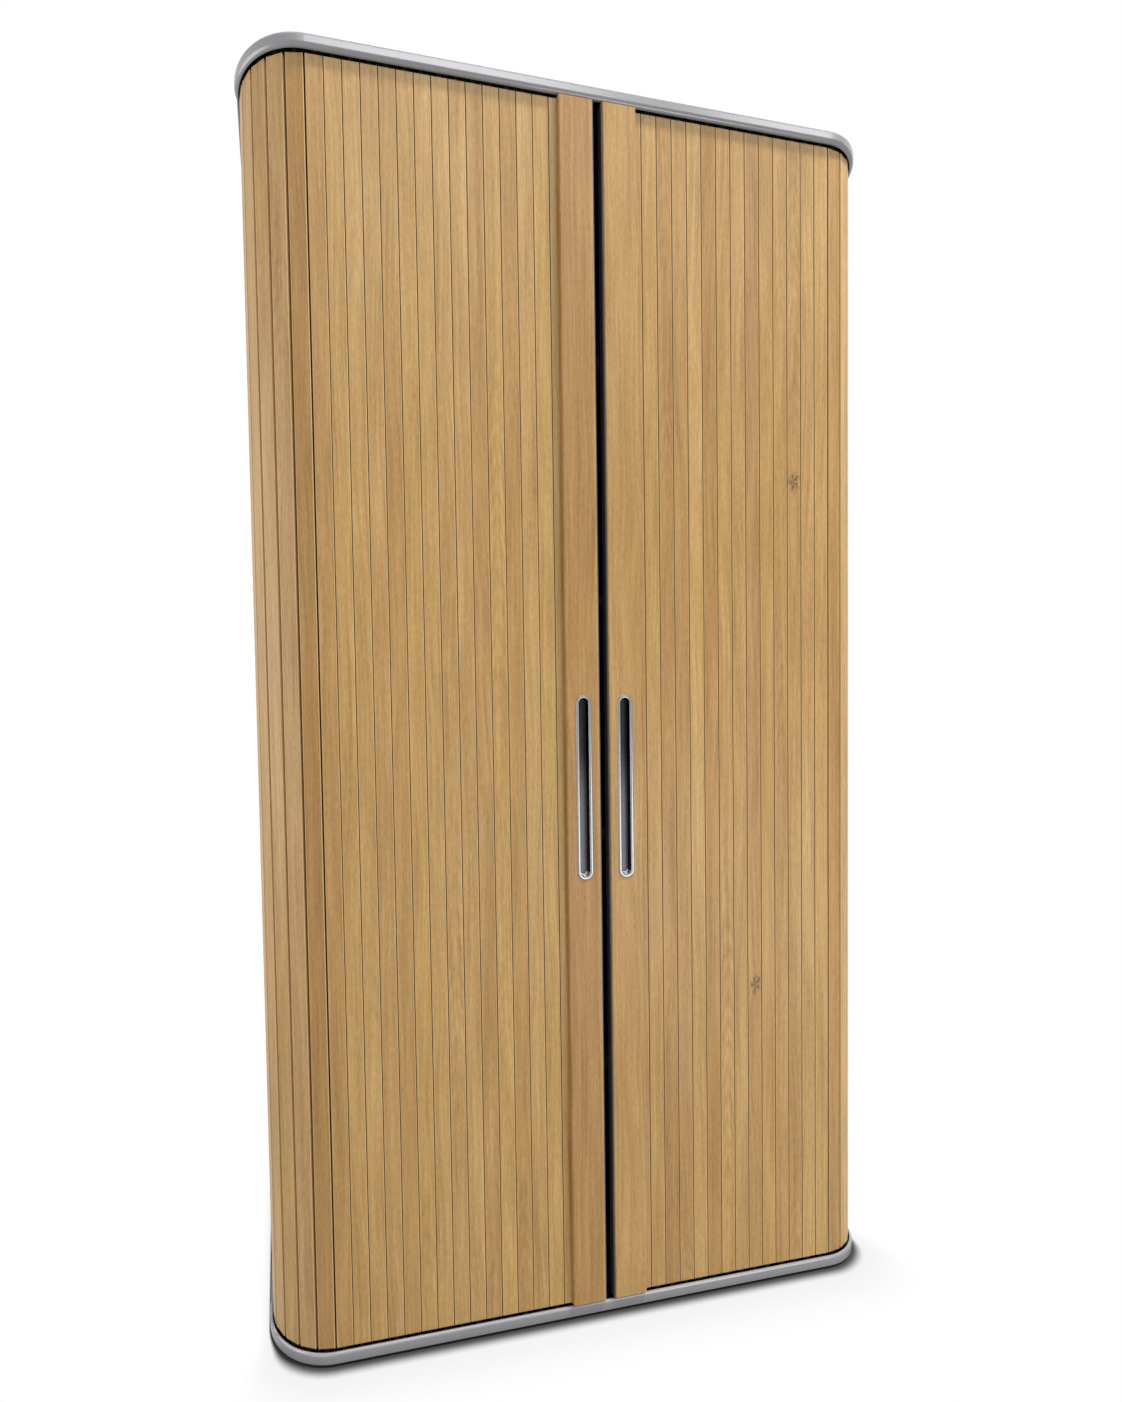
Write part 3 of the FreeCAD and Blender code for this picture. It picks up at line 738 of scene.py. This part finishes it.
# Woven sheet, glued flat on the backs of the slats
def canvasPiece(node, body):
    low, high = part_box(node)
    thick, width = sorted((high.x - low.x, high.y - low.y))
    length = high.z - low.z
    bm = bmesh.new()
    bmesh.ops.create_grid(bm, x_segments=canvasShape["acrossParts"], y_segments=canvasShape["alongParts"],
                          size=0.5)
    bmesh.ops.scale(bm, verts=bm.verts, vec=(width, length, 1))
    bmesh.ops.solidify(bm, geom=bm.faces[:], thickness=thick)
    turn = Matrix.Rotation(math.pi / 2, 3, "X")
    if high.y - low.y > high.x - low.x:
        turn = Matrix.Rotation(math.pi / 2, 3, "Z") @ turn
    bmesh.ops.rotate(bm, verts=bm.verts, cent=(0, 0, 0), matrix=turn)
    corner = Vector([min(vert.co[axis] for vert in bm.verts) for axis in range(3)])
    bmesh.ops.translate(bm, verts=bm.verts, vec=low - corner)
    piece = finishPiece(bm, node + "_cloth", [backingCanvas], body, node)


for hand in hands:
    fingerPull(hand)
    stripPiece(hand)
    canvasPiece(hand + "_flat_canvas", hand + "_door")
    canvasPiece(hand + "_side_canvas", hand + "_tail")
print("pulls, strips and canvas made")

# Finishes of the frame's own pieces, by words in their names; the first that fits counts
finishes = (
    (silverLacquer, ("base_board", "top_board")),
    (boardVeneer, ("stile", "side_panel")),
    (zincSteel, ("shelf_pins",)),
    (darkProfile, ("levelling_feet",)),
    # The inside pieces are dark laminate, dark partly as painted shade
    (laminateAndShade, ("back_panel", "shelf", "inner_side", "rear_post")),
)
for name, node in nodes.items():
    fitting = [material for material, words in finishes if any(word in name for word in words)]
    if fitting:
        node.data.materials.clear()
        node.data.materials.append(fitting[0])
print("frame pieces painted")

studio = {
    "roomLight": 0.50,
    "floorSize": 30.0,
    "floorRoughness": 0.9,
    "floorShadowTone": 0.05,  # as the camera sees it close to the cabinet: a painted shadow laid over the real one
    "floorBounce": 0.28,  # as it lights the cabinet
    "whiteFrom": (0.001, 0.021),  # distances from the cabinet between which the floor turns white
    "tail": 0.12,  # share of the painted shadow that reaches further
    "tailLength": 0.11,
    "sideFade": 6.0,  # how much faster the painted shadow ends beside the cabinet
    "sidePower": 14.0,  # how narrowly beside it
}

lamps = {
    "key": {"spot": (2.20, -1.30, 6.10), "aim": (0.0, -0.22, 1.1), "size": 0.55, "power": 510,
            "mirrored": False},  # or it would burn out the rim
    "front": {"spot": (0.45, -3.05, 4.70), "aim": (0.1, -0.22, 1.4), "size": 2.0, "power": 42},
    "rimLight": {"spot": (2.20, -2.40, 4.00), "aim": (0.3, -0.22, 1.8), "size": 1.0, "power": 12},
    "fillRight": {"spot": (1.00, -1.80, 0.35), "aim": (0.35, -0.22, 0.4), "size": 1.0, "power": 10.5,
                  "tint": (1, 0.98, 0.97)},
    "fillLeft": {"spot": (-2.20, -0.38, 1.30), "aim": (-0.5, -0.15, 1.2), "size": 2.2, "power": 32,
                 "tint": (0.98, 0.97, 1)},
}


def addLamp(name, lamp):
    data = bpy.data.lights.new(name, "AREA")
    data.shape = "DISK"
    data.size = lamp["size"]
    data.energy = lamp["power"]
    data.color = lamp.get("tint", (1, 1, 1))
    item = bpy.data.objects.new(name, data)
    item.visible_glossy = lamp.get("mirrored", True)
    item.location = lamp["spot"]
    item.rotation_euler = (Vector(lamp["aim"]) - Vector(lamp["spot"])).to_track_quat("-Z", "Y").to_euler()
    bpy.context.scene.collection.objects.link(item)


def seenDirectly(tree):
    path = addNode(tree, "ShaderNodeLightPath").outputs
    seen = larger(tree, path["Is Camera Ray"], path["Is Glossy Ray"])
    return larger(tree, seen, path["Is Transmission Ray"])


# Pale floor with a painted shadow close to the cabinet, laid over its real shadow, and plain white further
# off
def floorMaterial():
    material, tree, shader = newMaterial("paleFloor")
    seen = seenDirectly(tree)
    bounce, shown = ((tone, tone, tone, 1) for tone in (studio["floorBounce"], studio["floorShadowTone"]))
    setInputs(tree, shader, {
        "Base Color": mixColour(tree, seen, bounce, shown),
        "Roughness": studio["floorRoughness"],
        "Specular IOR Level": 0.0,
    })
    low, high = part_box("base_board")
    place = objectPlace(tree)
    reach, aside = curtainReach(tree, place)
    behind = subtract(tree, splitVector(tree, place)[1], high.y)
    far = larger(tree, subtract(tree, reach, cornerY - low.y), behind)
    sideways = mathNode(tree, "POWER", mathNode(tree, "DIVIDE", aside, reach), studio["sidePower"])
    far = multiply(tree, far, scaleAdd(tree, sideways, studio["sideFade"] - 1, 1.0))
    beyondTail = fadeNode(tree, far, 0.0, studio["tailLength"])
    white = scaleAdd(tree, beyondTail, studio["tail"], 1 - studio["tail"])
    share = multiply(tree, multiply(tree, seen, white), fadeNode(tree, far, *studio["whiteFrom"]))
    glow = addNode(tree, "ShaderNodeEmission", {"Color": (1, 1, 1, 1), "Strength": 1.0})
    mix = addNode(tree, "ShaderNodeMixShader", {0: share, 1: shader.outputs[0], 2: glow.outputs[0]})
    setInputs(tree, tree.nodes["Material Output"], {0: mix.outputs[0]})
    return material


def makeFloor():
    bm = bmesh.new()
    bmesh.ops.create_grid(bm, x_segments=1, y_segments=1, size=studio["floorSize"] / 2)
    mesh = bpy.data.meshes.new("floor")
    bm.to_mesh(mesh)
    bm.free()
    mesh.materials.append(floorMaterial())
    floor = bpy.data.objects.new("floor", mesh)
    bpy.context.scene.collection.objects.link(floor)


# White as seen, and dimmer as it lights the cabinet
def makeWorld():
    world = bpy.data.worlds.new("paleRoom")
    bpy.context.scene.world = world
    world.use_nodes = True
    tree = world.node_tree
    strength = scaleAdd(tree, seenDirectly(tree), 1 - studio["roomLight"], studio["roomLight"])
    setInputs(tree, tree.nodes["Background"], {0: (1, 1, 1, 1), 1: strength})


makeFloor()
makeWorld()
for name, lamp in lamps.items():
    addLamp(name, lamp)
bpy.context.scene.view_settings.view_transform = "Standard"
print("studio made")

shot = {
    "spot": (-0.4900, -1.2566, 0.9190),
    "yaw": 12.007,  # degrees to the right of +Y
    "tilt": -1.946,
    "roll": 1.147,
    "focal": 708.3,  # pixels of the photograph
    "middle": (428.9, 772.3),  # where the lens axis meets the photograph
    "frame": (1122.0, 1402.0),
    "sensor": 36.0,
}


def makeCamera():
    data = bpy.data.cameras.new("camera")
    width, height = shot["frame"]
    data.sensor_fit = "VERTICAL"
    data.sensor_height = shot["sensor"]
    data.lens = shot["focal"] / height * shot["sensor"]
    data.shift_x = (width / 2 - shot["middle"][0]) / height
    data.shift_y = (shot["middle"][1] - height / 2) / height
    yaw, tilt, roll = (math.radians(shot[key]) for key in ("yaw", "tilt", "roll"))
    level = math.cos(tilt)
    forward = Vector((math.sin(yaw) * level, math.cos(yaw) * level, math.sin(tilt)))
    right = Vector((math.cos(yaw), -math.sin(yaw), 0))
    up = right.cross(forward)
    turnedRight = math.cos(roll) * right - math.sin(roll) * up
    turnedUp = math.sin(roll) * right + math.cos(roll) * up
    turn = Matrix((turnedRight, turnedUp, -forward)).transposed().to_4x4()
    camera = bpy.data.objects.new("camera", data)
    camera.matrix_world = Matrix.Translation(shot["spot"]) @ turn
    bpy.context.scene.collection.objects.link(camera)
    bpy.context.scene.camera = camera


makeCamera()
print("camera set")
